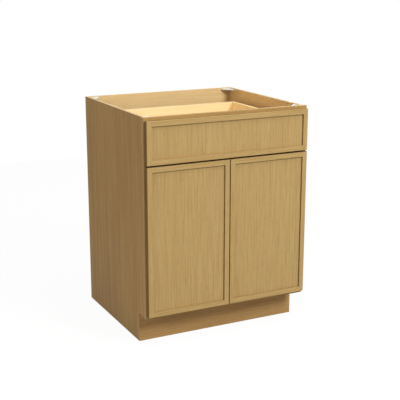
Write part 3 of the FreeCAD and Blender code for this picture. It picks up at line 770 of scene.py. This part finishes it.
class CABINET_OT_runners(bpy.types.Operator):
    """Zinc runners, plastic shoes, catches, levers and their screws, pins and grips"""
    bl_idname = "cabinet.runners"
    bl_label = "Runners"

    def execute(self, context):
        metals = hardware(context)
        plate = zinc(metals)
        dress(["shelf_pegs", *both("runner_fixed", "runner_middle", "runner_drawer")], plate)
        white = plastic("white_moulding", metals.white_plastic, 0.42, metals)
        dress(["runner_shoes", "corner_braces"], white)
        grey = plastic("grey_moulding", metals.grey_plastic, 0.45, metals)
        dress(["runner_catches", *both("release_lever")], grey)
        catch_low, catch_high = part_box("runner_catches")
        for side, sign in SIDES.items():
            low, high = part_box("runner_fixed_" + side)
            face = sign * (max(abs(low.x), abs(high.x)) - RUNNER_GAUGE)
            seats = [(Vector((face, low.y + (high.y - low.y) * share,
                              high.z - RUNNER_SCREW_DROP)), (-sign, 0, 0))
                     for share in RUNNER_SCREW_SHARES]
            screws("runner_screws_" + side, seats, "case", plate, metals)
            seats = [(Vector((sign * (catch_high.x - inset), catch_high.y - CATCH_SCREW_BACK,
                              catch_low.z)), (0, 0, -1)) for inset in CATCH_SCREW_INSETS]
            screws("catch_screws_" + side, seats, "drawer", plate, metals, 0.75)
            self.lever_trim(side, sign, grey, plate)
        return {"FINISHED"}

    def lever_trim(self, side, sign, grey, plate):
        """Grip ridges under a lever's thumb and the head of its pivot pin."""
        low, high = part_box("release_lever_" + side)
        pivot = joint_place("release_lever_" + side + "_press")
        pivot.z = low.z + LEVER_PIN_RISE
        round_end = max(abs(low.x), abs(high.x)) - abs(pivot.x)
        tip = Vector((sign * (min(abs(low.x), abs(high.x)) + round_end), low.y + round_end, low.z))
        along = Vector((tip.x - pivot.x, tip.y - pivot.y, 0)).normalized()

        def ridges(mesh):
            for step in range(GRIP_RIDGES):
                centre = tip + along * (GRIP_FIRST - GRIP_PITCH * step)
                ridge_form(mesh, centre, Vector((-along.y, along.x, 0)), GRIP_HALF, GRIP_RADIUS)

        def pin(mesh):
            profile = [(radius * 2, height * 2) for radius, height in RIVET]
            lathe(mesh, profile, aimed(pivot, (0, 0, -1)), 20)
        body = "release_lever_" + side
        mesh_piece("lever_grip_" + side, ridges, body, grey)
        mesh_piece("lever_pin_" + side, pin, body, plate)


class CABINET_OT_braces(bpy.types.Operator):
    """Wire staples that hold the corner braces"""
    bl_idname = "cabinet.braces"
    bl_label = "Corner braces"

    def execute(self, context):
        metals = hardware(context)
        low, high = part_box("corner_braces")
        level = high.z - BRACE_STAPLE_DROP
        seats = []
        for sign in SIDES.values():
            for corner, inward in ((low.y, 1), (high.y, -1)):
                seats.append((Vector((sign * (high.x - BRACE_STAPLE_OUT),
                                      corner + inward * BRACE_WALL, level)), (0, inward, 0)))
                seats.append((Vector((sign * (high.x - BRACE_WALL),
                                      corner + inward * BRACE_STAPLE_OUT, level)), (-sign, 0, 0)))

        def build(mesh):
            for place, direction in seats:
                staple_form(mesh, place, direction, metals.staple_width, metals.staple_wire)
        mesh_piece("brace_staples", build, "case", zinc(metals))
        return {"FINISHED"}


class CABINET_OT_hinges(bpy.types.Operator):
    """Nickel finish of the hinges, their screws and the heads of their pins"""
    bl_idname = "cabinet.hinges"
    bl_label = "Hinges"

    def execute(self, context):
        metals = hardware(context)
        plate = nickel(metals)
        dress(both("hinge_arms", "hinge_outer_links", "hinge_inner_links", "hinge_cups"), plate)
        for side, sign in SIDES.items():
            low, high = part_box("hinge_arms_" + side)
            frame_low, frame_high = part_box("stile_" + side)
            opening = min(abs(frame_low.x), abs(frame_high.x))
            heights = (low.z + HINGE_END, high.z - HINGE_END)
            middle = (frame_low.y + frame_high.y) / 2
            seats = [(Vector((sign * (opening - BASE_GAUGE), middle, height + rise)),
                      (-sign, 0, 0))
                     for height in heights for rise in (-BASE_SCREW_RISE, BASE_SCREW_RISE)]
            screws("hinge_base_screws_" + side, seats, "case", plate, metals, 0.9)
            cup_low, cup_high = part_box("hinge_cups_" + side)
            cup_x = (abs(cup_low.x) + abs(cup_high.x)) / 2
            seats = [(Vector((sign * cup_x, cup_high.y, height + rise)), (0, 1, 0))
                     for height in heights for rise in (-CUP_SCREW_RISE, CUP_SCREW_RISE)]
            screws("hinge_cup_screws_" + side, seats, "door_" + side, plate,
                   metals, 0.8)
            seats = [(Vector((sign * (opening - CAM_OUT), frame_low.y + CAM_BACK, height)),
                      (-sign, 0, 0)) for height in heights]
            screws("hinge_cam_screws_" + side, seats, "case", plate, metals, 0.75)
            self.rivets(side, heights, metals, plate)
        return {"FINISHED"}

    def rivets(self, side, heights, metals, plate):
        """Domed heads on the ends of the hinges' pins."""
        arm = joint_place("door_" + side + "_outer_links")
        stub = joint_place("door_" + side + "_swing")
        inner = stub + Vector((math.copysign(metals.pin_step_out, stub.x),
                               -metals.pin_step_forward, 0))
        link_reach, cheek_reach = metals.link_reach, metals.cheek_reach
        for name, body, places in (
                ("hinge_link_rivets_", "outer_links_", ((arm, link_reach), (stub, cheek_reach))),
                ("hinge_cup_rivets_", "door_", ((inner, cheek_reach),))):
            seats = [(Vector((place.x, place.y, height + up * reach)), up)
                     for place, reach in places for height in heights for up in (-1, 1)]

            def build(mesh):
                for seat, up in seats:
                    lathe(mesh, RIVET, aimed(seat, (0, 0, up)), 16)
            mesh_piece(name + side, build, body + side, plate)


class CABINET_OT_pads(bpy.types.Operator):
    """Clear domed pads behind the drawer front and the doors"""
    bl_idname = "cabinet.pads"
    bl_label = "Pads"

    def execute(self, context):
        metals = hardware(context)
        clear = plastic("clear_pad", metals.pad, 0.25, metals, 0.55)
        self.pads("drawer_bumpers", "drawer", clear)
        for side in SIDES:
            self.pads("door_bumpers_" + side, "door_" + side, clear)
        return {"FINISHED"}

    def pads(self, node, body, material):
        """A domed pad in each corner of a node's box, which may be one pad wide."""
        low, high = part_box(node)
        half = PAD_WIDTH / 2
        profile = [(PAD_WIDTH * out, (high.y - low.y) * up) for out, up in PAD]
        centres = [(x, z) for x in {round(low.x + half, 6), round(high.x - half, 6)}
                   for z in (low.z + half, high.z - half)]

        def build(mesh):
            for x, z in sorted(centres):
                lathe(mesh, profile, aimed(Vector((x, low.y, z)), (0, 1, 0)), 28)
        piece = mesh_piece(node.replace("bumpers", "pads"), build, body, material)
        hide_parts(node)


class CABINET_OT_studio(bpy.types.Operator):
    """Floor, world, lamps and camera"""
    bl_idname = "cabinet.studio"
    bl_label = "Studio"

    def execute(self, context):
        studio = context.scene.cabinet_studio
        context.scene.view_settings.view_transform = "Standard"
        self.floor(studio)
        self.world(context, studio)
        for name, place, size, power in LAMPS:
            self.lamp(context, name, Vector(place), size, getattr(studio, power))
        bpy.data.lights["fill_lamp"].color = studio.fill_colour
        self.camera(context, studio)
        return {"FINISHED"}

    def floor(self, studio):
        shader = Shader("studio_floor")
        rays = shader.add("ShaderNodeLightPath")
        seen = shader.math("MAXIMUM", rays.outputs["Is Camera Ray"], rays.outputs["Is Glossy Ray"])
        seen = shader.math("MAXIMUM", seen, rays.outputs["Is Transmission Ray"])
        mottle = shader.spread(shader.noise(shader.place, 3.0, 3.0), 0.3, 0.7, 0.99, 1.0)
        tone = shader.scaled(plain(studio.floor), mottle)
        paint = shader.add("ShaderNodeBsdfDiffuse", {"Color": tone})
        glow = shader.add("ShaderNodeEmission", {"Strength": FLOOR_WHITE})
        share = shader.math("MULTIPLY", seen, studio.floor_glow)
        surface = shader.add("ShaderNodeMixShader", {0: share, 1: paint.outputs[0],
                                                     2: glow.outputs[0]})
        shader.add("ShaderNodeOutputMaterial", {"Surface": surface.outputs[0]})
        mesh = bmesh.new()
        bmesh.ops.create_circle(mesh, cap_ends=True, segments=96, radius=studio.floor_reach)
        data = bpy.data.meshes.new("studio_floor")
        mesh.to_mesh(data)
        mesh.free()
        data.materials.append(shader.material)
        floor = bpy.data.objects.new("studio_floor", data)
        bpy.context.scene.collection.objects.link(floor)

    def world(self, context, studio):
        world = bpy.data.worlds.new("studio_world")
        world.use_nodes = True
        tree = world.node_tree
        tree.nodes.clear()
        rays = tree.nodes.new("ShaderNodeLightPath")
        seen = rays.outputs["Is Camera Ray"]
        for kind in ("Is Glossy Ray", "Is Transmission Ray"):
            most = tree.nodes.new("ShaderNodeMath")
            most.operation = "MAXIMUM"
            tree.links.new(seen, most.inputs[0])
            tree.links.new(rays.outputs[kind], most.inputs[1])
            seen = most.outputs[0]
        level = tree.nodes.new("ShaderNodeMapRange")
        tree.links.new(seen, level.inputs["Value"])
        level.inputs["To Min"].default_value = studio.ambient
        level.inputs["To Max"].default_value = 1.0
        background = tree.nodes.new("ShaderNodeBackground")
        tree.links.new(level.outputs[0], background.inputs["Strength"])
        output = tree.nodes.new("ShaderNodeOutputWorld")
        tree.links.new(background.outputs[0], output.inputs["Surface"])
        background.inputs["Color"].default_value = (1.0, 1.0, 1.0, 1.0)
        context.scene.world = world

    def lamp(self, context, name, place, size, power):
        data = bpy.data.lights.new(name, "AREA")
        data.shape = "DISK"
        data.size = size
        data.energy = power
        lamp = bpy.data.objects.new(name, data)
        lamp.location = place
        lamp.rotation_mode = "QUATERNION"
        lamp.rotation_quaternion = (Vector(LAMP_TARGET) - place).to_track_quat("-Z", "Y")
        context.scene.collection.objects.link(lamp)

    def camera(self, context, studio):
        data = bpy.data.cameras.new("camera")
        data.sensor_width = 36.0
        data.lens = studio.lens
        camera = bpy.data.objects.new("camera", data)
        turn, dip, roll = studio.turn, studio.dip, studio.roll
        ahead = Vector((math.sin(turn) * math.cos(dip), math.cos(turn) * math.cos(dip),
                        -math.sin(dip)))
        right = Vector((math.cos(turn), -math.sin(turn), 0))
        up = right.cross(ahead)
        level = right * math.cos(roll) + up * math.sin(roll)
        upright = up * math.cos(roll) - right * math.sin(roll)
        turn_matrix = Matrix((level, upright, -ahead)).transposed()
        camera.matrix_world = Matrix.Translation(studio.place) @ turn_matrix.to_4x4()
        context.scene.collection.objects.link(camera)
        context.scene.camera = camera


class CABINET_PT_panel(bpy.types.Panel):
    """Steps and settings of the cabinet"""
    bl_idname = "CABINET_PT_panel"
    bl_label = "Kitchen base cabinet"
    bl_space_type = "VIEW_3D"
    bl_region_type = "UI"
    bl_category = "Cabinet"

    def draw(self, context):
        layout = self.layout
        for step in STEPS:
            layout.operator(step.bl_idname)
        for group in GROUPS:
            settings = getattr(context.scene, group)
            layout.separator()
            for name in GROUPS[group].__annotations__:
                layout.prop(settings, name)


GROUPS = {"cabinet_wood": CabinetWood, "cabinet_hardware": CabinetHardware,
          "cabinet_studio": CabinetStudio}
STEPS = (CABINET_OT_face_frame, CABINET_OT_case, CABINET_OT_fronts, CABINET_OT_drawer_box,
         CABINET_OT_runners, CABINET_OT_braces, CABINET_OT_hinges, CABINET_OT_pads,
         CABINET_OT_studio)


def register():
    for group in GROUPS.values():
        bpy.utils.register_class(group)
    for name, group in GROUPS.items():
        setattr(bpy.types.Scene, name, PointerProperty(type=group))
    for step in STEPS:
        bpy.utils.register_class(step)
    bpy.utils.register_class(CABINET_PT_panel)


def unregister():
    bpy.utils.unregister_class(CABINET_PT_panel)
    for step in reversed(STEPS):
        bpy.utils.unregister_class(step)
    for name, group in GROUPS.items():
        delattr(bpy.types.Scene, name)
        bpy.utils.unregister_class(group)


def main():
    register()
    cabinet = bpy.ops.cabinet
    cabinet.face_frame()
    cabinet.case()
    cabinet.fronts()
    cabinet.drawer_box()
    cabinet.runners()
    cabinet.braces()
    cabinet.hinges()
    cabinet.pads()
    cabinet.studio()


if __name__ == "__main__":
    main()
